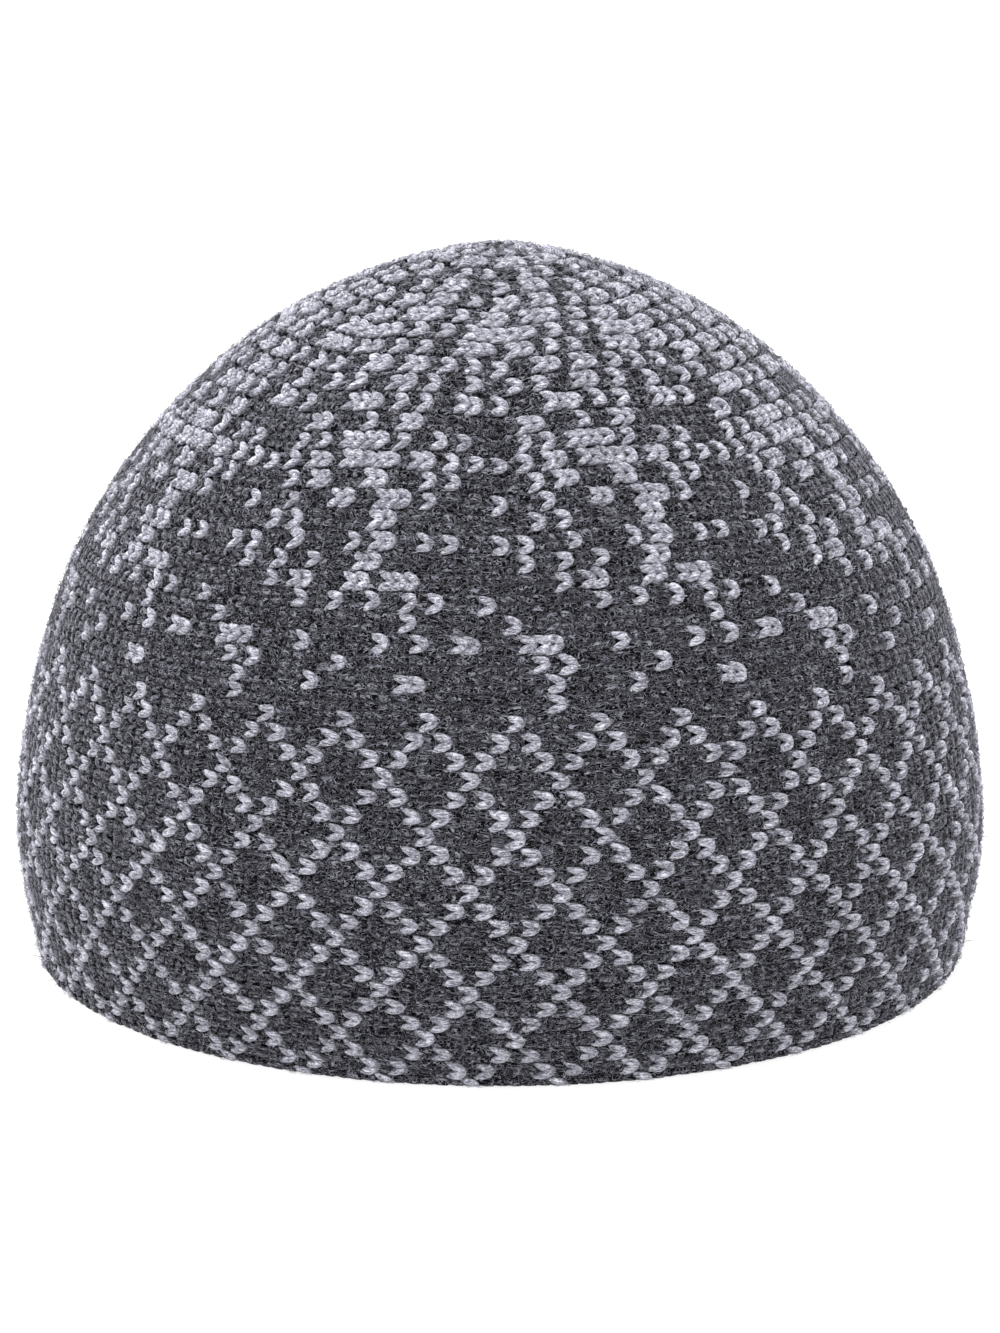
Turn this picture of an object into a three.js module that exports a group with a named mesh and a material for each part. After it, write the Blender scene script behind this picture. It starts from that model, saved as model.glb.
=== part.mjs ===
// A knitted kufi: a round, close-fitting cap of thick machine-knit wool. It is knitted sideways as a
// single piece, crown and all, so it has no band, lining or label, and it is modelled as one hollow
// solid: the knit wall, open at the rim.
//
// Millimetres, +Z up. The rim rests on Z = 0, the crown is over the origin, and +X runs along the
// longer side of the head's oval.
import * as THREE from "three";

// Driving dimensions
const LENGTH = 187; // across the oval at its widest, along X
const RIM_DEPTH = 0.78; // the oval's depth along Y as a share of its length, at the rim
const CROWN_DEPTH = 0.88; // the same share near the crown's centre, where the cap is rounder
const WALL = 3.2; // thickness of the knit
const GORES = 8; // wedges that the crown is knitted in
const GORE_DIP = 0.5; // how far the wall dips where two wedges join

// The wall's lean from upright, in degrees, at shares of its length from the rim to the crown's
// centre. Less than 0 leans outwards: the rim is a little narrower than the wall above it.
const WALL_LEAN = [
  { share: 0.0, lean: -6 },
  { share: 0.1, lean: -4 },
  { share: 0.2, lean: 8 },
  { share: 0.3, lean: 14 },
  { share: 0.4, lean: 21 },
  { share: 0.5, lean: 32 },
  { share: 0.6, lean: 42 },
  { share: 0.7, lean: 51 },
  { share: 0.8, lean: 63 },
  { share: 0.9, lean: 72 },
  { share: 1.0, lean: 85 },
];

// The rim's rolled edge, from the outer face to the inner one: how far through the wall each
// corner lies, and its height. The level stretch in the middle is what the cap rests on.
const EDGE_SHARE = 0.01; // the share of the wall's length that the rolled edge takes up
const ROLLED_EDGE = [
  { through: 0.1, height: 0.6 },
  { through: 0.3, height: 0 },
  { through: 0.7, height: 0 },
  { through: 0.9, height: 0.6 },
];

// How finely the wall is faceted
const AROUND = 8 * GORES; // facets round the oval, a whole number for each wedge
const ROWS = 22; // facets from the rolled edge to the crown's centre
const PROFILE_STEPS = 200; // steps that the wall's curve is added up in

const KNIT_COLOUR = 0x45464c; // charcoal wool, flecked with pale grey
const KNIT_ROUGHNESS = 0.95;

function leanAt(share) {
  const above = WALL_LEAN.findIndex((row) => row.share >= share);
  const [low, high] = [WALL_LEAN[above - 1], WALL_LEAN[above]];
  const blend = (share - low.share) / (high.share - low.share);
  return THREE.MathUtils.degToRad(THREE.MathUtils.lerp(low.lean, high.lean, blend));
}

// The wall's curve from the rim up: its reach from the axis as a share of the widest reach, and its
// height in millimetres. It is added up from the leans, and then scaled to the cap's LENGTH.
function wallCurve() {
  const curve = [{ reach: 0, height: 0 }];
  for (let step = 0; step < PROFILE_STEPS; step += 1) {
    const lean = leanAt((step + 0.5) / PROFILE_STEPS);
    const last = curve[step];
    curve.push({ reach: last.reach - Math.sin(lean), height: last.height + Math.cos(lean) });
  }
  const crownReach = curve[PROFILE_STEPS].reach;
  const widest = Math.max(...curve.map((point) => point.reach)) - crownReach;
  return curve.map((point) => ({
    reach: (point.reach - crownReach) / widest,
    height: (point.height * LENGTH) / 2 / widest,
  }));
}

const WALL_CURVE = wallCurve();

// The outer face before the wedges' dips: share 0 is the rim and 1 the crown's centre, and the turn
// runs counter-clockwise from +X.
function smoothOuterFace(share, turn) {
  const place = share * PROFILE_STEPS;
  const index = Math.min(Math.floor(place), PROFILE_STEPS - 1);
  const [low, high] = [WALL_CURVE[index], WALL_CURVE[index + 1]];
  const reach = THREE.MathUtils.lerp(low.reach, high.reach, place - index);
  const height = THREE.MathUtils.lerp(low.height, high.height, place - index);
  const depth = THREE.MathUtils.lerp(RIM_DEPTH, CROWN_DEPTH, THREE.MathUtils.smoothstep(share, 0, 1));
  const halfLength = (LENGTH / 2) * reach;
  return new THREE.Vector3(halfLength * Math.cos(turn), halfLength * depth * Math.sin(turn), height);
}

function outwards(share, turn) {
  const step = 0.01;
  const [under, over] = [Math.max(0, share - step), Math.min(1 - step, share + step)];
  const up = smoothOuterFace(over, turn).sub(smoothOuterFace(under, turn));
  const round = smoothOuterFace(under, turn + step).sub(smoothOuterFace(under, turn - step));
  return round.cross(up).normalize();
}

// Wedges meet at whole multiples of a turn over GORES. The dip there comes in above the straight
// part of the wall, and fades again at the crown's centre, where all the wedges meet.
function goreDip(share, turn) {
  const wedge = (turn / (2 * Math.PI)) * GORES;
  const fromJoin = Math.abs(wedge - Math.round(wedge));
  const sharpness = Math.max(0, 1 - 4 * fromJoin);
  const rise = THREE.MathUtils.smoothstep(share, 0.35, 0.65);
  const fall = 1 - THREE.MathUtils.smoothstep(share, 0.85, 1);
  return GORE_DIP * sharpness * rise * fall;
}

function wallPoint(share, turn, depth) {
  const inwards = depth + goreDip(share, turn);
  return smoothOuterFace(share, turn).addScaledVector(outwards(share, turn), -inwards);
}

function ringOf(pointAt) {
  return Array.from({ length: AROUND }, (_, step) => pointAt((2 * Math.PI * step) / AROUND));
}

// The wall's rings, from the crown down the outer face, under the rolled edge and up the inner face.
function wallRings() {
  const rows = Array.from({ length: ROWS }, (_, row) => row / ROWS);
  const shares = rows.map((row) => THREE.MathUtils.lerp(EDGE_SHARE, 1, row));
  const outer = shares.map((share) => ringOf((turn) => wallPoint(share, turn, 0))).reverse();
  const inner = shares.map((share) => ringOf((turn) => wallPoint(share, turn, WALL)));
  const edge = ROLLED_EDGE.map(({ through, height }) =>
    ringOf((turn) => wallPoint(0, turn, WALL * through).setZ(height)),
  );
  return [...outer, ...edge, ...inner];
}

// Closes a stack of rings into a body, with a point over the first ring and one under the last.
function closedBody(rings, firstPole, lastPole) {
  const points = [firstPole, ...rings.flat(), lastPole];
  const lastRing = rings.length - 1;
  const at = (ring, step) => 1 + ring * AROUND + (step % AROUND);
  const faces = [];
  for (let step = 0; step < AROUND; step += 1) {
    faces.push(0, at(0, step), at(0, step + 1));
    for (let ring = 0; ring < lastRing; ring += 1) {
      faces.push(at(ring, step), at(ring + 1, step), at(ring + 1, step + 1));
      faces.push(at(ring, step), at(ring + 1, step + 1), at(ring, step + 1));
    }
    faces.push(points.length - 1, at(lastRing, step + 1), at(lastRing, step));
  }
  const geometry = new THREE.BufferGeometry().setFromPoints(points);
  geometry.setIndex(faces);
  geometry.computeVertexNormals();
  return geometry;
}

function knitShell() {
  const crown = smoothOuterFace(1, 0);
  const crownInside = crown.clone().setZ(crown.z - WALL);
  const geometry = closedBody(wallRings(), crown, crownInside);
  const knit = new THREE.MeshStandardMaterial({
    color: KNIT_COLOUR,
    roughness: KNIT_ROUGHNESS,
    metalness: 0,
  });
  const shell = new THREE.Mesh(geometry, knit);
  shell.name = "knit_shell";
  return shell;
}

const kufi = new THREE.Group();
kufi.add(knitShell());

export default kufi;
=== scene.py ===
"""Looks for a knitted kufi: a round, close-fitting cap of two-colour machine-knit wool.

The cap is knitted sideways, so its stitches lie on their sides: each one is a fat V whose point
turns to the right on the front. The wall carries a lattice of small diamonds, and each of the
crown's eight wedges carries the same chart of pale flecks.
"""

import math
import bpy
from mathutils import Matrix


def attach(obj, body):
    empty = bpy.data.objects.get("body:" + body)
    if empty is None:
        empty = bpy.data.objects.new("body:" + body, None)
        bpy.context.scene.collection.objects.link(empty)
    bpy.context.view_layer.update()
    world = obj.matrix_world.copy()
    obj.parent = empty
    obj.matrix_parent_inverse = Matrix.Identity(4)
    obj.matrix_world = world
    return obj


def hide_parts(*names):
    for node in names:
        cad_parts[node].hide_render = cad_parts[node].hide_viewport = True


bl_info = {
    "name": "Knitted Kufi",
    "version": (1, 0, 0),
    "blender": (4, 5, 0),
    "location": "3D View > Sidebar > Kufi",
    "description": "Stitches, reverse side and wool fuzz for a knitted kufi on its packed frame",
    "category": "Object",
}

import bpy
import numpy as np
from mathutils import Vector

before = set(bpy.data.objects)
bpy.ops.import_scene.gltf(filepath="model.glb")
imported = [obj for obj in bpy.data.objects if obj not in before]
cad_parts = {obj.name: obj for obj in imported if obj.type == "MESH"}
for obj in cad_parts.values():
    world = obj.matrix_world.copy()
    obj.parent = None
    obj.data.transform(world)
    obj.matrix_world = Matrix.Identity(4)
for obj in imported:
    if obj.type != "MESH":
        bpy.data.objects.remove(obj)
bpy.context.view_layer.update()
SHELL = "knit_shell"
MM = 0.001

# ---------------------------------------------------------------------------------------------
# The cap's shape, as its solid has it
# ---------------------------------------------------------------------------------------------

RIM_DEPTH = 0.78  # the oval's depth as a share of its length, at the rim
CROWN_DEPTH = 0.88  # the same share near the crown's centre
GORES = 8  # wedges that the crown is knitted in
GORE_DIP = 0.5 * MM  # how far the wall dips where two wedges join
DIP_SIDE = 0.25  # how much of a wedge the dip takes up to either side
DIP_STARTS = (0.35, 0.65)  # where it comes in, as shares of the wall's length
DIP_ENDS = (0.85, 1.0)  # where it fades again, as all the wedges meet
PROFILE_STEPS = 200  # steps that the wall's curve is added up in

# The wall's lean from upright, in degrees, at shares of its length from the rim to the crown
WALL_LEAN = (
    {"share": 0.0, "lean": -6},
    {"share": 0.1, "lean": -4},
    {"share": 0.2, "lean": 8},
    {"share": 0.3, "lean": 14},
    {"share": 0.4, "lean": 21},
    {"share": 0.5, "lean": 32},
    {"share": 0.6, "lean": 42},
    {"share": 0.7, "lean": 51},
    {"share": 0.8, "lean": 63},
    {"share": 0.9, "lean": 72},
    {"share": 1.0, "lean": 85},
)

# ---------------------------------------------------------------------------------------------
# The knitting: wales run round the head, and courses run from the rim up
# ---------------------------------------------------------------------------------------------

WALES = 48  # from the rolled edge to the crown's centre
COURSES = 24  # in each wedge, below the crown
LATTICE_TOP = 21  # the highest wale of the diamond lattice
DIAMOND = 6  # courses and wales from one diamond to the next

# Shares of the wall's length that the wales reach: they are packed closer near the rim
WALE_HEIGHTS = (
    {"wale": 0, "share": 0.0},
    {"wale": 6, "share": 0.102},
    {"wale": 12, "share": 0.205},
    {"wale": 18, "share": 0.316},
    {"wale": 24, "share": 0.428},
    {"wale": 30, "share": 0.548},
    {"wale": 36, "share": 0.681},
    {"wale": 42, "share": 0.833},
    {"wale": 48, "share": 1.0},
)

# The chart for one wedge over the lattice, one line for each wale from the lattice up. An x is a
# pale stitch. The wedge narrows, so the lines get shorter.
WEDGE_CHART = (
    "...x....................",
    "...x.....x......xx......",
    "..x.x......x............",
    ".xxx....x.....x..x..xx..",
    "x...............x.......",
    ".......x..x..x..x.x...x.",
    "....x.xx...xx.xxx.......",
    ".x..x..x...xx..........",
    ".x...x....x.xx..x.x...x",
    "..x.x......xx.........",
    "...x...xx..xxx.x.....x",
    "..x.xx...xx...x.x....",
    ".x.xx.xxxxx.xx.x.x.x",
    ".x.x.xxxx.x..x.x...",
    ".xx...x..xx.......",
    "...xxx.x.x..xx.x",
    "x.x..xx.x..x..",
    "..xx.xx.x.x.x",
    "xx.x.x..xxx.",
    "xx.x.x.xxx",
    ".xxx.x.xx",
    "x.xx.x.x",
    ".xx..x",
    ".x.x.",
    "xx.x",
    "x.",
    ".",
)
ALL_WALES = range(LATTICE_TOP + 1 + len(WEDGE_CHART))

COURSE_DRIFT = 0.014  # how far the side's courses are drawn to the front, as a share of the round
SIDE_LAG = 6.0 * MM  # how far the wales sag at the sides, where the wall is longer
WALE_BOW = 0.5  # how straight the wales run across a wedge: 0 follows the round, 1 is a chord
CROWN_ROLL = 0.025  # how far the crown's wales climb to the right, as a share of the reach

# Where these come in, as shares of the way up the wales. The drift and the lag fade as the crown
# comes in.
CROWN_STARTS = (0.6, 1.0)
BOW_STARTS = (0.45, 0.65)
ROLL_STARTS = (0.4, 0.65)


def smoothstep(value, low, high):
    t = np.clip((value - low) / (high - low), 0, 1)
    return t * t * (3 - 2 * t)


def wall_curve(length):
    """Reach from the axis and height at even shares of the wall's length, in metres."""
    shares = [row["share"] for row in WALL_LEAN]
    leans = np.radians([row["lean"] for row in WALL_LEAN])
    middles = (np.arange(PROFILE_STEPS) + 0.5) / PROFILE_STEPS
    lean = np.interp(middles, shares, leans)
    reach = -np.concatenate([[0], np.cumsum(np.sin(lean))])
    height = np.concatenate([[0], np.cumsum(np.cos(lean))])
    reach -= reach[-1]
    scale = length / 2 / reach.max()
    return reach * scale, height * scale, scale * PROFILE_STEPS


SHARES = np.linspace(0, 1, PROFILE_STEPS + 1)
CAP_LENGTH = 187 * MM
RIM_TUCK = 1.1 * MM  # how far the lowest courses draw the rim in, over the solid's plainer edge
TUCK_TOP = 0.12  # the share of the wall's length at which the tuck has run out
RIM_CURL = 0.67  # how far yarn that passes the rim goes inwards, as a share of how far it passes
FLOOR_GAP = 0.1 * MM  # what is lower than this is pressed flat on the floor
FLOOR_PRESS = 10  # how many times flatter it is pressed
REACH, HEIGHT, WALL_LENGTH = wall_curve(CAP_LENGTH)


def depth_at(share):
    return RIM_DEPTH + (CROWN_DEPTH - RIM_DEPTH) * smoothstep(share, 0, 1)


def smooth_face(share, turn):
    """The outer face before the wedges' dips, for arrays of shares and turns."""
    reach = np.interp(share, SHARES, REACH) - RIM_TUCK * (1 - smoothstep(share, 0, TUCK_TOP))
    height = np.interp(share, SHARES, HEIGHT)
    return np.stack([reach * np.cos(turn), reach * depth_at(share) * np.sin(turn), height], -1)


def outwards(share, turn):
    """The way straight out of the outer face."""
    step = 0.01
    share = np.minimum(share, 1 - 1.5 * step)  # the crown's centre has no way up
    under = np.maximum(0, share - step)
    over = np.minimum(1 - step, share + step)
    up = smooth_face(over, turn) - smooth_face(under, turn)
    round_ = smooth_face(under, turn + step) - smooth_face(under, turn - step)
    normal = np.cross(round_, up)
    return normal / np.linalg.norm(normal, axis=-1, keepdims=True)


def gore_dip(share, turn):
    """How far the wall dips. Wedges meet at whole multiples of a turn over GORES."""
    wedge = turn / (2 * math.pi) * GORES
    sharpness = np.maximum(0, 1 - np.abs(wedge - np.round(wedge)) / DIP_SIDE)
    rise = smoothstep(share, *DIP_STARTS)
    fall = 1 - smoothstep(share, *DIP_ENDS)
    return GORE_DIP * sharpness * rise * fall


def wall_point(share, turn, depth):
    """A point in the wall: depth runs inwards from the outer face, and less than 0 is outside."""
    share = np.clip(share, 0, 1)
    inwards = depth + gore_dip(share, turn)
    return smooth_face(share, turn) - outwards(share, turn) * inwards[..., None]


def wedge_bow():
    """How far a straight wale stands over the round one at the middle of a wedge, by share."""
    width = math.pi * REACH * (1 + depth_at(SHARES)) / GORES
    narrowing = -np.gradient(width, WALL_LENGTH / PROFILE_STEPS)
    return np.maximum(0, width * narrowing / 8)  # an arc's height over its chord


BOW = wedge_bow()


def even_turn(share, angle):
    """The turn for an angle at which even angles stand evenly far apart round the oval."""
    flatness = (1 - depth_at(share) ** 2) / (1 + depth_at(share) ** 2) / 4
    return angle + flatness * np.sin(2 * angle)


def knit_place(wale, wedge):
    """The share and turn of a place in the knitting. Wedges are counted from the front's middle.

    A wale under 0 has passed the rim, and its share is less than 0.
    """
    up = wale / WALES
    heights = [row["share"] for row in WALE_HEIGHTS]
    share = np.interp(wale, [row["wale"] for row in WALE_HEIGHTS], heights)
    share = share + np.minimum(wale, 0) * heights[1] / WALE_HEIGHTS[1]["wale"]
    crown = smoothstep(up, *CROWN_STARTS)
    angle = 2 * math.pi * wedge / GORES
    drift = 2 * math.pi * COURSE_DRIFT * np.sin(angle) ** 3 * (1 - crown)
    turn = even_turn(share, angle - drift - math.pi / 2)
    across = wedge - np.floor(wedge)
    bow = WALE_BOW * smoothstep(up, *BOW_STARTS) * np.interp(share, SHARES, BOW)
    lift = bow * 4 * across * (1 - across)  # highest in the wedge's middle
    reach = np.interp(share, SHARES, REACH)
    roll = CROWN_ROLL * smoothstep(up, *ROLL_STARTS) * reach * np.cos(turn)
    lag = SIDE_LAG * up * (1 - crown) * np.sin(angle) ** 2
    return share + (lift + roll - lag) / WALL_LENGTH, turn


def over_floor(height):
    """Presses what would be under the floor flat on it, keeping its order so no face closes up."""
    pressed = FLOOR_GAP * np.exp(np.minimum(height / FLOOR_GAP - 1, 0) / FLOOR_PRESS)
    return np.where(height < FLOOR_GAP, pressed, height)


def knit_point(wale, wedge, height):
    """A point on the knitting: height is over the outer face. What passes the rim curls in."""
    share, turn = knit_place(wale, wedge)
    passed = np.maximum(-share, 0) * WALL_LENGTH
    point = wall_point(share, turn, passed * RIM_CURL - height)
    point[..., 2] = over_floor(point[..., 2] - passed)
    return point


def courses_in(wale):
    return COURSES if wale <= LATTICE_TOP else len(WEDGE_CHART[wale - LATTICE_TOP - 1])


def is_pale(wale, course):
    if wale > LATTICE_TOP:
        return WEDGE_CHART[wale - LATTICE_TOP - 1][course] == "x"
    row = LATTICE_TOP - wale
    return (course + row) % DIAMOND == 0 or (course - row) % DIAMOND == 0


SHADE = 4  # the column of all_stitches that is 1 for a pale stitch and 0 for a charcoal one


def all_stitches():
    """Every stitch of the cap, as rows of wale, wedge, course, courses in its wedge and shade."""
    rows = []
    for wale in ALL_WALES:
        count = courses_in(wale)
        for wedge in range(GORES):
            for course in range(count):
                rows.append((wale, wedge, course, count, is_pale(wale, course)))
    return np.array(rows, float)


# ---------------------------------------------------------------------------------------------
# Helpers for meshes and materials
# ---------------------------------------------------------------------------------------------


def linear(hex_colour):
    """The linear colour of an sRGB hex value, with alpha, by the sRGB standard's own numbers."""
    parts = [int(hex_colour[i : i + 2], 16) / 255 for i in (1, 3, 5)]
    return [p / 12.92 if p <= 0.04045 else ((p + 0.055) / 1.055) ** 2.4 for p in parts] + [1.0]


def add_node(tree, kind, settings=None, values=None, links=None):
    """Adds a node: settings are its own fields, values its inputs, and links feed its inputs."""
    node = tree.nodes.new(kind)
    for name, value in (settings or {}).items():
        setattr(node, name, value)
    for name, value in (values or {}).items():
        node.inputs[name].default_value = value
    for name, socket in (links or {}).items():
        tree.links.new(socket, node.inputs[name])
    return node


def deselect_all():
    if bpy.context.object and bpy.context.object.mode != "OBJECT":
        bpy.ops.object.mode_set(mode="OBJECT")
    bpy.ops.object.select_all(action="DESELECT")


def add_ball(sides, bands):
    """Adds a ball one metre in radius, with so many sides and so many bands from pole to pole."""
    deselect_all()
    bpy.ops.mesh.primitive_uv_sphere_add(segments=sides, ring_count=max(bands, 3), radius=1)
    ball = bpy.context.object
    if bands == 2:
        # A new ball has three bands at least, with rings half way up and half way down. They are
        # drawn together into one, and the small shrink makes their heights round to nothing.
        shrink = 0.9
        for vertex in ball.data.vertices:
            vertex.co.z = round(vertex.co.z * shrink)
        bpy.ops.object.mode_set(mode="EDIT")
        bpy.ops.mesh.select_all(action="SELECT")
        bpy.ops.mesh.remove_doubles(threshold=0.01)
        bpy.ops.object.mode_set(mode="OBJECT")
    return ball


def mesh_arrays(mesh):
    """A mesh's points, the points of its faces in one row, and how many each face has."""
    points = np.array([v.co for v in mesh.vertices], float)
    loops = np.array([i for p in mesh.polygons for i in p.vertices])
    totals = np.array([len(p.vertices) for p in mesh.polygons])
    return points, loops, totals


def joined_mesh(name, points, loops, totals, uvs):
    """One mesh of many copies of a shape: points and uvs are arrays of (copies, points, axes)."""
    copies, count = points.shape[:2]
    all_loops = (loops[None, :] + np.arange(copies)[:, None] * count).ravel()
    all_totals = np.tile(totals, copies)
    mesh = bpy.data.meshes.new(name)
    mesh.vertices.add(copies * count)
    mesh.vertices.foreach_set("co", points.astype(np.float32).ravel())
    mesh.loops.add(len(all_loops))
    mesh.loops.foreach_set("vertex_index", all_loops.astype(np.int32))
    mesh.polygons.add(len(all_totals))
    starts = np.concatenate([[0], np.cumsum(all_totals)[:-1]])
    mesh.polygons.foreach_set("loop_start", starts.astype(np.int32))
    mesh.polygons.foreach_set("use_smooth", np.ones(len(all_totals), bool))
    layer = mesh.uv_layers.new(name="yarn")
    layer.data.foreach_set("uv", uvs.reshape(-1, 2)[all_loops].astype(np.float32).ravel())
    mesh.update(calc_edges=True)
    piece = bpy.data.objects.new(name, mesh)
    bpy.context.scene.collection.objects.link(piece)
    return piece


def finish_piece(piece, material):
    piece.data.materials.clear()
    piece.data.materials.append(material)
    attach(piece, "root")
    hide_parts(SHELL)


THREAD_SIDES = 3  # of a float and of a fibre, which are too fine for more to show
MAP_GIRTH = 0.2  # millimetres of a thread's map for each radian round it
MAP_STEP = 3.7  # millimetres from one thread's map to the next, so that their markings differ


def threads(name, centres, outward, radii):
    """One mesh of many closed threads: the floats, or fibres.

    centres and outward are arrays of (threads, places along it, axes), and radii is one of
    (threads, places along it). A thread's first and last place are its tips.
    """
    copies, places = centres.shape[:2]
    ball = add_ball(THREAD_SIDES, places - 1)
    points, loops, totals = mesh_arrays(ball.data)
    bpy.data.objects.remove(ball)
    place = np.round(np.arccos(np.clip(points[:, 2], -1, 1)) / math.pi * (places - 1)).astype(int)
    at_tip = (place == 0) | (place == places - 1)
    angle = np.arctan2(points[:, 1], points[:, 0])
    along = np.gradient(centres, axis=1)
    side = np.cross(along, outward)
    side /= np.linalg.norm(side, axis=-1, keepdims=True)
    out = np.cross(side, along)
    out /= np.linalg.norm(out, axis=-1, keepdims=True)
    radius = np.where(at_tip, 0, 1)[None, :] * radii[:, place]
    sideways = side[:, place] * np.cos(angle)[None, :, None]
    upwards = out[:, place] * np.sin(angle)[None, :, None]
    placed = centres[:, place] + (sideways + upwards) * radius[..., None]
    placed[..., 2] = over_floor(placed[..., 2])
    length = np.linalg.norm(np.diff(centres, axis=1), axis=-1).sum(axis=1)
    u = place[None, :] / (places - 1) * length[:, None] / MM
    v = np.broadcast_to(angle[None, :] * MAP_GIRTH, u.shape)
    shift = np.arange(copies)[:, None] * MAP_STEP
    return joined_mesh(name, placed, loops, totals, np.stack([u + shift, v + shift], -1))


def wall_frame(share, turn):
    """A place on the wall's outer face, with the ways up the wall, round it and out of it."""
    point = wall_point(share, turn, np.zeros_like(share))
    out = outwards(share, turn)
    round_ = np.stack([-out[..., 1], out[..., 0], np.zeros_like(share)], -1)
    round_ /= np.linalg.norm(round_, axis=-1, keepdims=True)
    return point, np.cross(out, round_), round_, out


# ---------------------------------------------------------------------------------------------
# Sizes and colours that a user would change
# ---------------------------------------------------------------------------------------------


class KufiYarn(bpy.types.PropertyGroup):
    leg_width: bpy.props.FloatProperty(
        name="Leg width",
        description="Width of one leg of a stitch at its fattest",
        default=1.8 * MM,
        unit="LENGTH",
    )
    leg_height: bpy.props.FloatProperty(
        name="Leg height",
        description="How far a leg is thick through the knit",
        default=1.4 * MM,
        unit="LENGTH",
    )
    felt_fibres: bpy.props.IntProperty(
        name="Felt fibres", description="Short fibres that lie on the charcoal wool", default=26000
    )
    stitch_fibres: bpy.props.IntProperty(
        name="Stitch fibres", description="Short fibres that lie on each pale stitch", default=10
    )
    loose_fibres: bpy.props.IntProperty(
        name="Loose fibres", description="Longer fibres that stand out of the wool", default=2600
    )
    fibre_width: bpy.props.FloatProperty(
        name="Fibre width",
        description="Thickness of a fibre, drawn several times too thick so that it shows",
        default=0.16 * MM,
        unit="LENGTH",
    )


class KufiColours(bpy.types.PropertyGroup):
    charcoal_deep: bpy.props.StringProperty(
        name="Charcoal, deep", description="The darkest charcoal fibres", default="#060609"
    )
    charcoal: bpy.props.StringProperty(
        name="Charcoal", description="The charcoal yarn's usual shade", default="#26262c"
    )
    charcoal_lit: bpy.props.StringProperty(
        name="Charcoal, lit", description="The palest fibres in the charcoal", default="#888893"
    )
    # Painted light: the charcoal fibres' pale shade stands in for light that goes through a fibre
    charcoal_fibre: bpy.props.StringProperty(
        name="Charcoal, fibre",
        description="Single fibres over the charcoal yarn",
        default="#82828c",
    )
    grey_deep: bpy.props.StringProperty(
        name="Grey, deep", description="The shaded fibres of the pale yarn", default="#66656f"
    )
    grey: bpy.props.StringProperty(
        name="Grey", description="The pale yarn's usual shade", default="#afafbb"
    )
    grey_lit: bpy.props.StringProperty(
        name="Grey, lit", description="The lit fibres of the pale yarn", default="#dedee8"
    )
    # Painted light: the palest fibre shade stands in for light that goes through a single fibre
    grey_fibre_lit: bpy.props.StringProperty(
        name="Grey, tip", description="The palest single fibres of the pale yarn", default="#e4e4ec"
    )
    sheen: bpy.props.StringProperty(
        name="Sheen", description="Tint of the wool's sheen at grazing angles", default="#d2d2de"
    )
    floor: bpy.props.StringProperty(
        name="Floor", description="The lit table's own shade, under its glow", default="#9c9c9c"
    )


# ---------------------------------------------------------------------------------------------
# Materials
# ---------------------------------------------------------------------------------------------


# Sizes of the markings in the wool. Real fibre is far finer: these are drawn coarse, to show.
STREAK_LONG = 1.4 * MM
STREAK_WIDE = 0.35 * MM
FELT_LONG = 2.6 * MM
FELT_WIDE = FELT_LONG / 3
FELT_CURL = 1.05 * MM
CLUMP = 3.0 * MM  # where the wool is felted more or less
BUMP = 0.25 * MM

# The markings' tones, from deep to lit
FELT_LINE = 0.045  # how near its middle the noise has to be to draw a fibre
ON_FIBRE = 0.85
OFF_FIBRE = 0.3
CLUMP_TONE = 0.24  # how much a clump adds
USUAL_TONE = 0.63  # the tone with the yarn's usual shade
DEEP_STEP = 0.17  # from there down to the deepest shade
LIT_STEP = 0.2  # and up to the lit one


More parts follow.
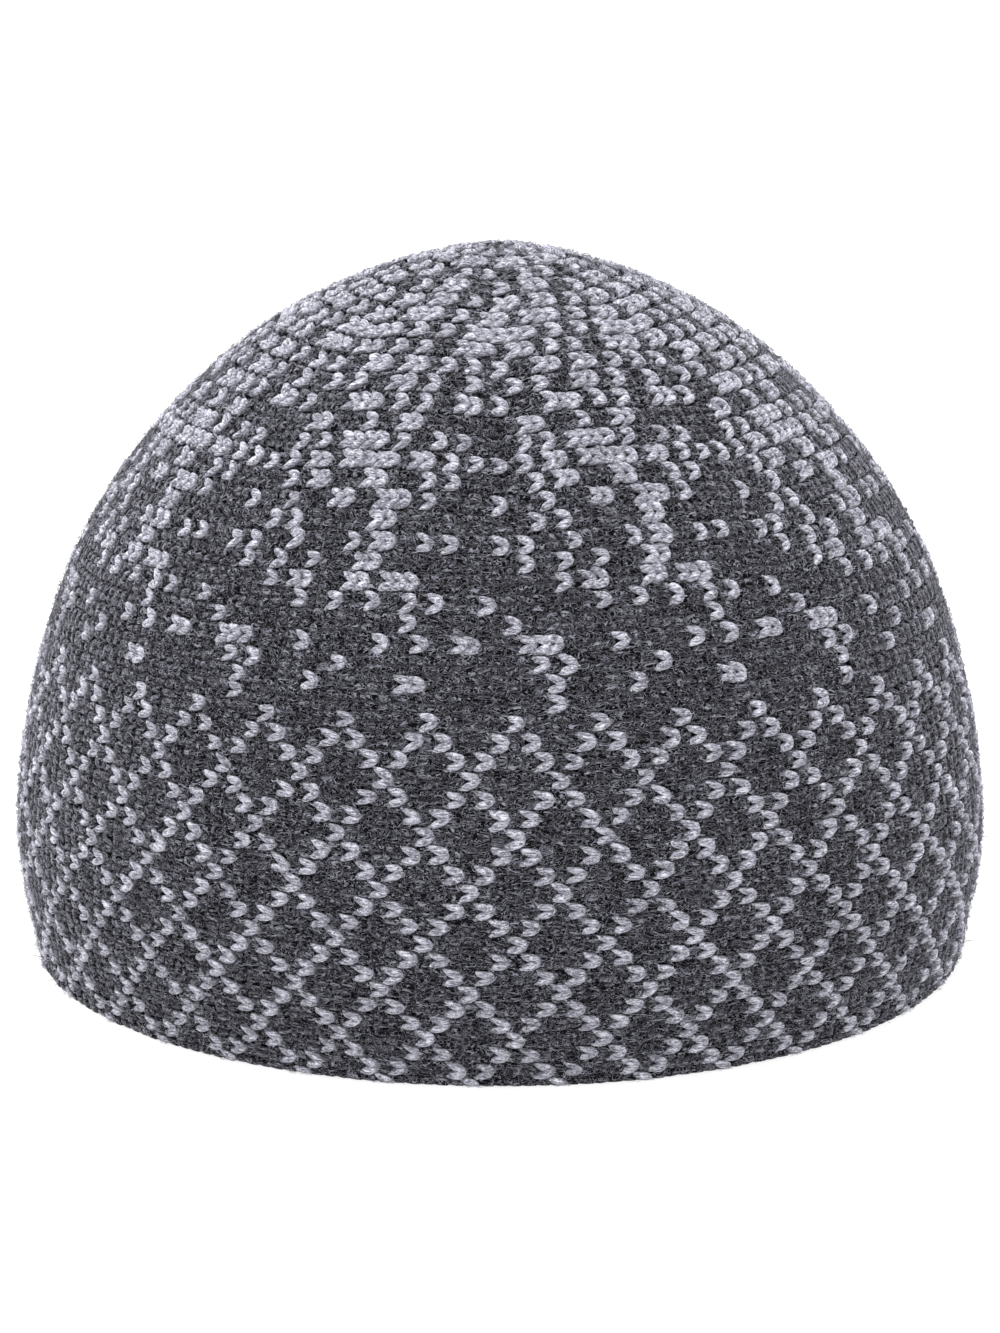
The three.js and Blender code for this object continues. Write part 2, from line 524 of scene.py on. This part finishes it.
def wool_material(name, shades, streaks, contrast, sheen):
    """Spun wool, steamed and a little felted: matt, with fine fibres lying along the yarn.

    The eye sees streaks of paler and darker fibre, soft bumps and a sheen at grazing angles.
    shades runs from the deepest fibres to the lit ones, and contrast is how far apart they show.
    streaks is how much of the marking follows the yarn: the rest runs every way, as felted
    fibres do.
    """
    material = bpy.data.materials.new(name)
    material.use_nodes = True
    tree = material.node_tree
    tree.nodes.clear()
    # Streaks of fibre. The yarn's UVs are in millimetres: u runs along it and v round it.
    uv = add_node(tree, "ShaderNodeUVMap", {"uv_map": "yarn"})
    stretch = add_node(
        tree,
        "ShaderNodeMapping",
        values={"Scale": (MM / STREAK_LONG, MM / STREAK_WIDE, 1)},
        links={"Vector": uv.outputs["UV"]},
    )
    along_yarn = add_node(
        tree,
        "ShaderNodeTexNoise",
        {"noise_dimensions": "2D"},
        {"Scale": 1.0, "Detail": 2.0, "Roughness": 0.6, "Distortion": 0.4},
        {"Vector": stretch.outputs["Vector"]},
    )
    # Felted fibres: each layer is the thin lines where a noise crosses its middle. One layer's
    # lines are drawn out along the yarn, and the other's curl every way.
    place = add_node(tree, "ShaderNodeTexCoord")
    drawn_out = add_node(
        tree,
        "ShaderNodeMapping",
        values={"Scale": (MM / FELT_LONG, MM / FELT_WIDE, 1)},
        links={"Vector": uv.outputs["UV"]},
    )
    sources = (
        {
            "vector": drawn_out.outputs["Vector"],
            "dimensions": "2D",
            "scale": 1.0,
            "thinness": 0.85,
        },
        {
            "vector": place.outputs["Object"],
            "dimensions": "3D",
            "scale": 1 / FELT_CURL,
            "thinness": 1.4,
        },
    )
    layers = []
    for source in sources:
        curls = add_node(
            tree,
            "ShaderNodeTexNoise",
            {"noise_dimensions": source["dimensions"]},
            {"Scale": source["scale"], "Detail": 1.0, "Roughness": 0.6, "Distortion": 1.0},
            {"Vector": source["vector"]},
        )
        middle = add_node(
            tree, "ShaderNodeMath", {"operation": "SUBTRACT"}, {1: 0.5}, {0: curls.outputs["Fac"]}
        )
        away = add_node(
            tree, "ShaderNodeMath", {"operation": "ABSOLUTE"}, links={0: middle.outputs[0]}
        )
        thinned = add_node(
            tree,
            "ShaderNodeMath",
            {"operation": "MULTIPLY"},
            {1: source["thinness"]},
            {0: away.outputs[0]},
        )
        layers.append(thinned.outputs[0])
    nearest = add_node(
        tree, "ShaderNodeMath", {"operation": "MINIMUM"}, links={0: layers[0], 1: layers[1]}
    )
    felt = add_node(
        tree,
        "ShaderNodeMapRange",
        {"interpolation_type": "SMOOTHSTEP"},
        {"From Min": 0.0, "From Max": FELT_LINE, "To Min": ON_FIBRE, "To Max": OFF_FIBRE},
        {"Value": nearest.outputs[0]},
    )
    clumps = add_node(
        tree,
        "ShaderNodeTexNoise",
        values={"Scale": 1 / CLUMP, "Detail": 3.0, "Roughness": 0.6},
        links={"Vector": place.outputs["Object"]},
    )
    fibres = add_node(
        tree,
        "ShaderNodeMix",
        {"data_type": "FLOAT"},
        {0: 1 - streaks},
        {2: along_yarn.outputs["Fac"], 3: felt.outputs["Result"]},
    )
    clumped = add_node(
        tree,
        "ShaderNodeMath",
        {"operation": "MULTIPLY_ADD"},
        {1: CLUMP_TONE},
        {0: clumps.outputs["Fac"], 2: fibres.outputs[0]},
    )
    ramp = add_node(tree, "ShaderNodeValToRGB", links={"Fac": clumped.outputs["Value"]})
    ramp.color_ramp.elements.new(0.5)
    tones = (USUAL_TONE - DEEP_STEP * contrast, USUAL_TONE, USUAL_TONE + LIT_STEP * contrast)
    for element, position, shade in zip(ramp.color_ramp.elements, tones, shades):
        element.position = position
        element.color = linear(shade)
    bump = add_node(
        tree,
        "ShaderNodeBump",
        values={"Strength": 0.8, "Distance": BUMP},
        links={"Height": fibres.outputs[0]},
    )
    shader = add_node(
        tree,
        "ShaderNodeBsdfPrincipled",
        values={
            "Roughness": 0.95,
            "IOR": 1.45,
            "Specular IOR Level": 0.1,
            "Sheen Weight": sheen,
            "Sheen Roughness": 0.3,
        },
        links={"Base Color": ramp.outputs["Color"], "Normal": bump.outputs["Normal"]},
    )
    sheen_tint = bpy.context.scene.kufi_colours.sheen
    shader.inputs["Sheen Tint"].default_value = linear(sheen_tint)
    add_node(tree, "ShaderNodeOutputMaterial", links={"Surface": shader.outputs["BSDF"]})


# A felted wool is for stitches, and a wool fibre for the single fibres over them. Their colours
# are painted paler than the yarn: painted light, standing in for the light that goes through
# them. The charcoal wool is felted more, so its markings curl, and the grey yarn's run along it.
WOOLS = {
    "charcoal_felted_wool": {"streaks": 0.2, "contrast": 0.84, "sheen": 0.6},
    "charcoal_wool_fibre": {"streaks": 0.0, "contrast": 1.0, "sheen": 0.5},
    "grey_felted_wool": {"streaks": 0.7, "contrast": 0.7, "sheen": 0.6},
    "grey_wool_fibre": {"streaks": 0.0, "contrast": 1.0, "sheen": 0.3},
}


def wools():
    """The two yarns' materials by name, made when they are first asked for."""
    colours = bpy.context.scene.kufi_colours
    charcoal = (colours.charcoal_deep, colours.charcoal, colours.charcoal_lit)
    grey = (colours.grey_deep, colours.grey, colours.grey_lit)
    # The fibres' shades are painted paler than their yarns': painted light, for light through them
    charcoal_fibre = (colours.charcoal, colours.charcoal_fibre, colours.grey)
    grey_fibre = (colours.grey, colours.grey_lit, colours.grey_fibre_lit)
    shades = {
        "charcoal_felted_wool": charcoal,
        "charcoal_wool_fibre": charcoal_fibre,
        "grey_felted_wool": grey,
        "grey_wool_fibre": grey_fibre,
    }
    for name, recipe in WOOLS.items():
        if name not in bpy.data.materials:
            wool_material(name, shades[name], **recipe)
    return {name: bpy.data.materials[name] for name in WOOLS}


# ---------------------------------------------------------------------------------------------
# The wall behind the stitches
# ---------------------------------------------------------------------------------------------

WALL = 3.2 * MM
BACKING_DEPTH = 1.25 * MM  # from the outer face to the wall behind the stitches
OUTER_BANDS = 24
INNER_BANDS = 48
AROUND = 2 * COURSES * GORES  # two faces for each course, so that each can be a ridge
REVERSE_RIDGE = 0.22 * MM  # how far a course stands up on the reverse side
RIDGE_TOP = 0.97  # the share of the wall's length at which the ridges end

# The rolled edge between the two faces: how far through the wall, and how high
ROLLED_EDGE = (
    {"through": 0.42, "height": 0.35 * MM},
    {"through": 0.58, "height": 0.0},
    {"through": 0.76, "height": 0.0},
    {"through": 0.9, "height": 0.5 * MM},
)


class KUFI_OT_backing(bpy.types.Operator):
    """Models the wall behind the stitches: its reverse side and its rolled edge"""

    bl_idname = "kufi.backing"
    bl_label = "Wall and reverse side"

    def execute(self, context):
        bands = OUTER_BANDS + len(ROLLED_EDGE) + INNER_BANDS
        ball = add_ball(AROUND, bands)
        points, _, _ = mesh_arrays(ball.data)
        band = np.round(np.arccos(np.clip(points[:, 2], -1, 1)) / math.pi * bands).astype(int)
        turn = np.arctan2(points[:, 1], points[:, 0])
        outer = band < OUTER_BANDS
        inner = band >= OUTER_BANDS + len(ROLLED_EDGE)
        down = 1 - band / OUTER_BANDS
        up = (band - OUTER_BANDS - len(ROLLED_EDGE) + 1) / (INNER_BANDS + 1)
        share = np.where(outer, down, np.where(inner, up, 0))
        step = np.round(turn / (2 * math.pi) * AROUND)
        ridges = REVERSE_RIDGE * np.cos(step * math.pi) * (share < RIDGE_TOP)
        depth = np.where(outer, BACKING_DEPTH, WALL + ridges)
        for index, corner in enumerate(ROLLED_EDGE):
            depth = np.where(band == OUTER_BANDS + index, corner["through"] * WALL, depth)
        placed = wall_point(share, turn, depth)
        for index, corner in enumerate(ROLLED_EDGE):
            placed[band == OUTER_BANDS + index, 2] = corner["height"]
        placed[:, 2] = np.maximum(placed[:, 2], 0)
        for pole, pole_depth in ((0, BACKING_DEPTH), (bands, WALL)):
            placed[band == pole] = [0, 0, HEIGHT[-1] - pole_depth]
        mesh = ball.data
        mesh.vertices.foreach_set("co", placed.astype(np.float32).ravel())
        mesh.polygons.foreach_set("use_smooth", np.ones(len(mesh.polygons), bool))
        layer = mesh.uv_layers[0]
        layer.name = "yarn"
        # The ball's own map runs once round it and once from pole to pole
        size = np.array([2 * WALL_LENGTH, math.pi * CAP_LENGTH]) / MM
        uvs = np.empty(len(layer.data) * 2, np.float32)
        layer.data.foreach_get("uv", uvs)
        uvs = uvs.reshape(-1, 2)[:, ::-1] * size
        layer.data.foreach_set("uv", uvs.astype(np.float32).ravel())
        mesh.update()
        ball.name = "knit_wall"
        finish_piece(ball, wools()["charcoal_felted_wool"])
        return {"FINISHED"}


FLOAT_WIDTH = 0.9 * MM
FLOAT_PLACES = 33  # along each float

# How far a float's middle is past the inner face, towards the head
FLOAT_SUNK = -0.5 * MM  # at a pale stitch, where its yarn goes through to the front
FLOAT_PROUD = 0.3 * MM  # elsewhere


class KUFI_OT_floats(bpy.types.Operator):
    """Lays the pale yarn across the reverse side, one float for each course"""

    bl_idname = "kufi.floats"
    bl_label = "Floats on the reverse side"

    def execute(self, context):
        wedge, course = np.divmod(np.arange(COURSES * GORES)[:, None], COURSES)
        tops = np.vectorize(self.top_wale)(course)
        wales = 1 + (tops - 1) * np.linspace(0, 1, FLOAT_PLACES)
        wale = np.minimum(wales.astype(int), WALES - 1)
        counts = np.vectorize(courses_in)(wale)
        pale = np.vectorize(is_pale)(wale, np.minimum(course, counts - 1))
        share, turn = knit_place(wales, wedge + np.minimum(course + 1, counts) / counts)
        centres = wall_point(share, turn, WALL + np.where(pale, FLOAT_SUNK, FLOAT_PROUD))
        radii = np.full(wales.shape, FLOAT_WIDTH / 2)
        piece = threads("grey_floats", centres, -outwards(share, turn), radii)
        finish_piece(piece, wools()["grey_felted_wool"])
        return {"FINISHED"}

    @staticmethod
    def top_wale(course):
        """The last wale that this course of a wedge reaches."""
        return max(wale for wale in ALL_WALES if courses_in(wale) > course)


# ---------------------------------------------------------------------------------------------
# Stitches
# ---------------------------------------------------------------------------------------------

COURSE_PITCH = 2.75 * MM  # along a wale, from one stitch to the next
WALE_PITCH = 3.7 * MM  # from one wale to the next
STITCH_BASE = -0.72 * MM  # the middle of a leg, from the cap's outer face

# One leg of a stitch, from its open end to its point. Along is in courses and aside in wales.
# Width is a share of the leg's own width, and rise and height are shares of its height. The
# charcoal stitches are felted nearly flat, and the pale ones stand plump over them.
PALE_LEG = (
    {"along": -0.98, "aside": 0.45, "rise": -0.4, "width": 0.0, "height": 0.0},
    {"along": -0.62, "aside": 0.37, "rise": 0.0, "width": 0.62, "height": 0.64},
    {"along": -0.24, "aside": 0.285, "rise": 0.18, "width": 0.95, "height": 0.88},
    {"along": 0.18, "aside": 0.19, "rise": 0.24, "width": 1.1, "height": 0.92},
    {"along": 0.56, "aside": 0.1, "rise": 0.12, "width": 0.88, "height": 0.76},
    {"along": 0.94, "aside": 0.0, "rise": -0.25, "width": 0.0, "height": 0.0},
)
CHARCOAL_LEG = (
    {"along": -0.85, "aside": 0.36, "rise": -0.4, "width": 0.0, "height": 0.0},
    {"along": -0.5, "aside": 0.32, "rise": -0.02, "width": 1.05, "height": 0.8},
    {"along": -0.05, "aside": 0.26, "rise": 0.06, "width": 1.25, "height": 0.9},
    {"along": 0.4, "aside": 0.17, "rise": 0.03, "width": 1.15, "height": 0.85},
    {"along": 0.8, "aside": 0.08, "rise": -0.25, "width": 0.0, "height": 0.0},
)
RING_NEAR = 0.001  # a corner of the ball this near a ring's height is on that ring
SECOND_LEG_MAP = (7.0, 3.0)  # how far the second leg's map is shifted, so that its markings differ

# The two kinds of stitch. In the crown the wales are further apart than they are on the wall, and
# the pale stitches are drawn a little narrower there.
STITCHES = (
    {
        "yarn": "charcoal",
        "pale": 0,
        "leg": CHARCOAL_LEG,
        "sides": 5,
        "pieces": 4,
        "seed": 10,
        "crown_width": 1.0,
    },
    {
        "yarn": "grey",
        "pale": 1,
        "leg": PALE_LEG,
        "sides": 6,
        "pieces": 2,
        "seed": 20,
        "crown_width": 0.86,
    },
)
CROWN_WIDTH_STARTS = (0.6, 0.85)  # where crown_width comes in, as shares of the way up the wales
LAST_LOOPS = 0.45  # wales from the crown's centre, where the last loops are drawn together

# The spread of each stitch's own share of plumpness and lean, of its slide along the wale in
# courses and aside in wales, and of its lift out of the knit
UNEVEN = {"plump": 0.07, "lean": 0.07, "slide": 0.05, "aside": 0.03, "lift": 0.06 * MM}
MARKING_ROOM = 200  # millimetres of the material's pattern that stitches are spread over


def model_stitch(name, leg, sides):
    """Models one leg from a ball, ring by ring, and mirrors it into a V. Returns its arrays."""
    size = bpy.context.scene.kufi_yarn
    ball = add_ball(sides, len(leg) - 1)
    ball.name = name
    heights = sorted({round(v.co.z, 4) for v in ball.data.vertices})
    for height, ring in zip(heights, leg):
        bpy.ops.object.mode_set(mode="EDIT")
        bpy.ops.mesh.select_mode(type="VERT")
        bpy.ops.mesh.select_all(action="DESELECT")
        bpy.ops.object.mode_set(mode="OBJECT")
        for v in ball.data.vertices:
            v.select = abs(v.co.z - height) < RING_NEAR
        bpy.ops.object.mode_set(mode="EDIT")
        radius = math.sqrt(max(0.0, 1 - height * height)) or 1.0  # a tip has none to divide by
        width = ring["width"] * size.leg_width / 2 / radius
        thick = ring["height"] * size.leg_height / 2 / radius
        bpy.ops.transform.resize(value=(width, thick, 1), center_override=(0, 0, height))
        # x is to the leg's own side of the wale, -y is out of the knit and z is along the wale
        aside = ring["aside"] * WALE_PITCH
        rise = ring["rise"] * size.leg_height
        along = ring["along"] * COURSE_PITCH
        bpy.ops.transform.translate(value=(aside, -rise, along - height))
    bpy.ops.object.mode_set(mode="OBJECT")
    co, loops, totals = mesh_arrays(ball.data)
    bpy.data.objects.remove(ball)
    leg_points = np.stack([co[:, 2] / COURSE_PITCH, co[:, 0] / WALE_PITCH, -co[:, 1]], -1)
    around = np.arctan2(co[:, 1] - co[:, 1].mean(), co[:, 0] - co[:, 0].mean())
    uv = np.stack([co[:, 2] / MM, around * size.leg_width / 2 / MM], -1)
    points = np.concatenate([leg_points, leg_points * [1, -1, 1]])
    # The way that the ball's axes are read here mirrors it, so the first leg's faces are read
    # backwards to point outwards. The second leg is a mirror of that, and its faces are right.
    starts = np.concatenate([[0], np.cumsum(totals)[:-1]])
    backwards = np.concatenate([loops[s : s + t][::-1] for s, t in zip(starts, totals)])
    return {
        "points": points,
        "loops": np.concatenate([backwards, loops + len(co)]),
        "totals": np.concatenate([totals, totals]),
        "uvs": np.concatenate([uv, uv + SECOND_LEG_MAP]),
    }


def knit_stitches(name, stitches, stitch, seed, crown_width):
    """Sets a copy of the stitch on each place, bent to the wall, and joins them in one mesh."""
    rng = np.random.default_rng(seed)
    points = stitch["points"]
    n = len(stitches)
    wale, wedge, course, count = (stitches[:, i, None] for i in range(4))
    plump = rng.normal(1.0, UNEVEN["plump"], (n, 1))
    lean = rng.normal(0.0, UNEVEN["lean"], (n, 1))
    slide = rng.normal(0.0, UNEVEN["slide"], (n, 1))
    lift = rng.normal(0.0, UNEVEN["lift"], (n, 1))
    along = points[None, :, 0] + slide
    aside = points[None, :, 1] * plump + lean * points[None, :, 0]
    aside = aside + rng.normal(0, UNEVEN["aside"], (n, 1))
    aside = aside * (1 + (crown_width - 1) * smoothstep(wale / WALES, *CROWN_WIDTH_STARTS))
    rise = points[None, :, 2] * plump + lift
    wale = np.minimum(wale, WALES - LAST_LOOPS)
    place = wedge + (course + 1 + along) / count
    co = knit_point(wale + aside, place, rise + STITCH_BASE)
    uvs = stitch["uvs"][None] + rng.uniform(0, MARKING_ROOM, (n, 1, 2))
    return joined_mesh(name, co, stitch["loops"], stitch["totals"], uvs)


class KUFI_OT_stitches(bpy.types.Operator):
    """Knits the cap's stitches in charcoal and grey wool"""

    bl_idname = "kufi.stitches"
    bl_label = "Stitches"

    def execute(self, context):
        stitches = all_stitches()
        for kind in STITCHES:
            yarn = kind["yarn"]
            stitch = model_stitch(f"{yarn}_stitch", kind["leg"], kind["sides"])
            places = stitches[stitches[:, SHADE] == kind["pale"]]
            for index, part in enumerate(np.array_split(places, kind["pieces"])):
                name = f"{yarn}_stitches_{index + 1}"
                seed = kind["seed"] + index
                piece = knit_stitches(name, part, stitch, seed, kind["crown_width"])
                finish_piece(piece, wools()[f"{yarn}_felted_wool"])
        return {"FINISHED"}


# ---------------------------------------------------------------------------------------------
# Fibres
# ---------------------------------------------------------------------------------------------

FIBRE_SEED = 31
FIBRE_SHARES = (0.004, 0.985)  # of the wall's length, where fibres are scattered
FIBRE_TRIES = 3  # places tried for each fibre, as more are dropped where the wall is narrower

# The short fibres that lie on each yarn: the spread of their headings in radians, how high their
# middles are over the wall's face, and how long they are
LYING = {
    "charcoal": {
        "spread": 0.65,
        "height": (-0.15 * MM, 0.45 * MM),
        "length": (1.0 * MM, 2.8 * MM),
    },
    "grey": {
        "spread": 0.35,
        "height": (0.1 * MM, 0.5 * MM),
        "length": (0.8 * MM, 2.0 * MM),
    },
}
LYING_BEND = 0.3  # the spread of the bend in the middle, as a share of half the length
LYING_DIP = 0.55 * MM  # how far a fibre's ends dip into the wool
LYING_WIDTHS = (0.7, 1.2)  # shares of the usual width

# How the grey yarn's fibres lie along the two legs of each V
LEG_REACH = (-0.85, 0.75)  # in courses, from the leg's open end to its point
LEG_SLANT = 0.23  # wales that a leg is out from the V's middle, for each course from its point
LEG_SPREAD = 0.06  # wales to either side of that line
LEG_HEADING = 0.3  # radians that a leg's fibres turn from round the cap

# The longer fibres that stand out of the wool, each an arc. The angles are in radians.
LOOSE_PLACES = 5  # along each fibre
LOOSE_LENGTH = (1.5 * MM, 3.4 * MM)
LOOSE_START = (0.3, 1.3)  # how steeply it leaves the wool
LOOSE_DROOP = 0.6  # how far it bends back on the whole
LOOSE_CURL = 1.1  # the spread of that bend
LOOSE_SWING = 1.0  # the spread of its turn to one side
LOOSE_ROOT = 0.5 * MM  # how deep in the wool it starts
LOOSE_WIDTH = 0.6  # as a share of the usual width
SLIGHT_TILT = 0.01  # of a fibre's outward way, so that one that stands straight out has a side


def scatter(count, rng):
    """Places spread evenly over the wall: shares and turns."""
    share = rng.uniform(*FIBRE_SHARES, count * FIBRE_TRIES)
    chance = np.interp(share, SHARES, REACH) / REACH.max()
    share = share[rng.uniform(0, 1, len(share)) < chance][:count]
    return share, even_turn(share, rng.uniform(0, 2 * math.pi, len(share)))


def lying_fibres(yarn, share, turn, heading, rng):
    """Short fibres that lie on the wool, each a thin thread bent in the middle.

    heading is each one's angle from straight up the wall: half pi runs round the cap.
    """
    n = len(share)
    point, up, round_, out = (axis[:, None, :] for axis in wall_frame(share, turn))
    heading = heading[:, None, None]
    half = rng.uniform(*LYING[yarn]["length"], (n, 1, 1)) / 2
    bend = rng.normal(0, LYING_BEND, (n, 1, 1)) * half
    way = up * np.cos(heading) + round_ * np.sin(heading)
    across = round_ * np.cos(heading) - up * np.sin(heading)
    step = np.array([-1, 0, 1])[None, :, None]
    lift = rng.uniform(*LYING[yarn]["height"], (n, 1, 1))
    rise = np.where(step == 0, lift, lift - LYING_DIP)
    centres = point + way * half * step + across * bend * (step == 0) + out * rise
    width = bpy.context.scene.kufi_yarn.fibre_width
    radii = rng.uniform(*LYING_WIDTHS, (n, 1)) * width / 2 * np.ones((1, 3))
    piece = threads(f"{yarn}_felt", centres, np.broadcast_to(out, centres.shape), radii)
    # The fibres' pale shades are painted light, for the light that goes through them
    finish_piece(piece, wools()[f"{yarn}_wool_fibre"])


class KUFI_OT_fibres(bpy.types.Operator):
    """Covers the wool in short fibres, and stands longer ones out of it as a halo"""

    bl_idname = "kufi.fibres"
    bl_label = "Wool fibres"

    def execute(self, context):
        rng = np.random.default_rng(FIBRE_SEED)
        yarn = context.scene.kufi_yarn
        share, turn = scatter(yarn.felt_fibres, rng)
        heading = rng.normal(math.pi / 2, LYING["charcoal"]["spread"], len(share))
        lying_fibres("charcoal", share, turn, heading, rng)
        stitches = all_stitches()
        pale = np.repeat(stitches[stitches[:, SHADE] == 1], yarn.stitch_fibres, axis=0)
        wale, wedge, course, count = (pale[:, i] for i in range(4))
        along = rng.uniform(*LEG_REACH, len(pale))
        leg = rng.choice([-1, 1], len(pale))
        aside = leg * LEG_SLANT * (1 - along) + rng.normal(0, LEG_SPREAD, len(pale))
        share, turn = knit_place(wale + aside, wedge + (course + 1 + along) / count)
        heading = rng.normal(math.pi / 2, LYING["grey"]["spread"], len(pale)) + LEG_HEADING * leg
        lying_fibres("grey", share, turn, heading, rng)
        self.loose(yarn, rng)
        return {"FINISHED"}

    @staticmethod
    def loose(yarn, rng):
        """Stands longer fibres out of the wool, each an arc."""
        share, turn = scatter(yarn.loose_fibres, rng)
        n = len(share)
        point, up, round_, out = (axis[:, None, :] for axis in wall_frame(share, turn))
        heading = rng.uniform(0, 2 * math.pi, (n, 1, 1))
        length = rng.uniform(*LOOSE_LENGTH, (n, 1, 1))
        start = rng.uniform(*LOOSE_START, (n, 1, 1))
        curl = rng.normal(0, LOOSE_CURL, (n, 1, 1)) - LOOSE_DROOP
        turnabout = rng.normal(0, LOOSE_SWING, (n, 1, 1))
        way = np.linspace(0, 1, LOOSE_PLACES)[None, :, None]
        steep = start + curl * way
        swing = heading + turnabout * way
        flat = up * np.cos(swing) + round_ * np.sin(swing)
        steps = (flat * np.cos(steep) + out * np.sin(steep)) * length / (LOOSE_PLACES - 1)
        centres = point - out * LOOSE_ROOT + np.cumsum(steps, axis=1) - steps[:, :1]
        radii = np.full((n, LOOSE_PLACES), yarn.fibre_width / 2 * LOOSE_WIDTH)
        outward = np.broadcast_to(out, centres.shape) + SLIGHT_TILT * up
        piece = threads("loose_fibres", centres, outward, radii)
        # As on the lying fibres, their pale shade is painted light, for light that goes through
        # them
        finish_piece(piece, wools()["charcoal_wool_fibre"])


# ---------------------------------------------------------------------------------------------
# Stage
# ---------------------------------------------------------------------------------------------

CAMERA_PLACE = (0, -0.620, 0.262)
CAMERA_AIM = (0, 0, 0.0553)
LENS = 91.8  # millimetres, for a frame whose longer side is FILM
FILM = 36
FLOOR_SIZE = 12  # metres, so that its edge is out of sight
TABLE_GLOW = 0.67  # the light from below
STUDIO_GLOW = 1.02  # the soft light from all round
LIGHT_AIM = (0, 0, 0.06)
LIGHTS = (
    {"name": "overhead", "place": (-0.15, -0.35, 1.5), "size": 1.3, "power": 19.5},
    {"name": "left_rim", "place": (-1.0, 0.75, 0.45), "size": 0.7, "power": 19},
    {"name": "right_rim", "place": (1.0, 0.75, 0.45), "size": 0.7, "power": 9},
)


def aim_at(item, target):
    item.rotation_euler = (Vector(target) - item.location).to_track_quat("-Z", "Y").to_euler()


class KUFI_OT_stage(bpy.types.Operator):
    """Sets the floor, the studio light and the camera"""

    bl_idname = "kufi.stage"
    bl_label = "Stage"

    def execute(self, context):
        deselect_all()
        scene = context.scene
        bpy.ops.mesh.primitive_plane_add(size=FLOOR_SIZE, location=(0, 0, 0))
        floor = context.object
        floor.name = "floor"
        # Opal acrylic lit from below: it is white all over, with a faint shadow under the cap
        acrylic = bpy.data.materials.new("opal_acrylic_table")
        acrylic.use_nodes = True
        tree = acrylic.node_tree
        tree.nodes.clear()
        shader = add_node(
            tree,
            "ShaderNodeBsdfPrincipled",
            values={"Roughness": 0.9, "Emission Strength": TABLE_GLOW},
        )
        shader.inputs["Base Color"].default_value = linear(scene.kufi_colours.floor)
        shader.inputs["Emission Color"].default_value = linear("#ffffff")
        add_node(tree, "ShaderNodeOutputMaterial", links={"Surface": shader.outputs["BSDF"]})
        floor.data.materials.append(acrylic)
        world = bpy.data.worlds.new("soft_studio")
        world.use_nodes = True
        background = world.node_tree.nodes["Background"]
        background.inputs["Color"].default_value = linear("#ffffff")
        background.inputs["Strength"].default_value = STUDIO_GLOW
        scene.world = world
        for light in LIGHTS:
            bpy.ops.object.light_add(type="AREA", location=light["place"])
            lamp = context.object
            lamp.name = light["name"]
            lamp.data.size = light["size"]
            lamp.data.energy = light["power"]
            aim_at(lamp, LIGHT_AIM)
        bpy.ops.object.camera_add(location=CAMERA_PLACE)
        camera = context.object
        camera.data.lens = LENS
        camera.data.sensor_width = FILM
        aim_at(camera, CAMERA_AIM)
        scene.camera = camera
        scene.view_settings.view_transform = "Standard"
        return {"FINISHED"}


class KUFI_PT_panel(bpy.types.Panel):
    """Lists the steps that make the kufi"""

    bl_label = "Knitted kufi"
    bl_idname = "KUFI_PT_panel"
    bl_space_type = "VIEW_3D"
    bl_region_type = "UI"
    bl_category = "Kufi"

    def draw(self, context):
        column = self.layout.column()
        for operator in OPERATORS:
            column.operator(operator.bl_idname)


OPERATORS = (KUFI_OT_stage, KUFI_OT_backing, KUFI_OT_floats, KUFI_OT_stitches, KUFI_OT_fibres)
CLASSES = (KufiYarn, KufiColours, *OPERATORS, KUFI_PT_panel)


def register():
    for cls in CLASSES:
        bpy.utils.register_class(cls)
    bpy.types.Scene.kufi_yarn = bpy.props.PointerProperty(type=KufiYarn)
    bpy.types.Scene.kufi_colours = bpy.props.PointerProperty(type=KufiColours)


def unregister():
    del bpy.types.Scene.kufi_colours
    del bpy.types.Scene.kufi_yarn
    for cls in reversed(CLASSES):
        bpy.utils.unregister_class(cls)


def main():
    register()
    bpy.ops.kufi.stage()
    bpy.ops.kufi.backing()
    bpy.ops.kufi.floats()
    bpy.ops.kufi.stitches()
    bpy.ops.kufi.fibres()


if __name__ == "__main__":
    main()
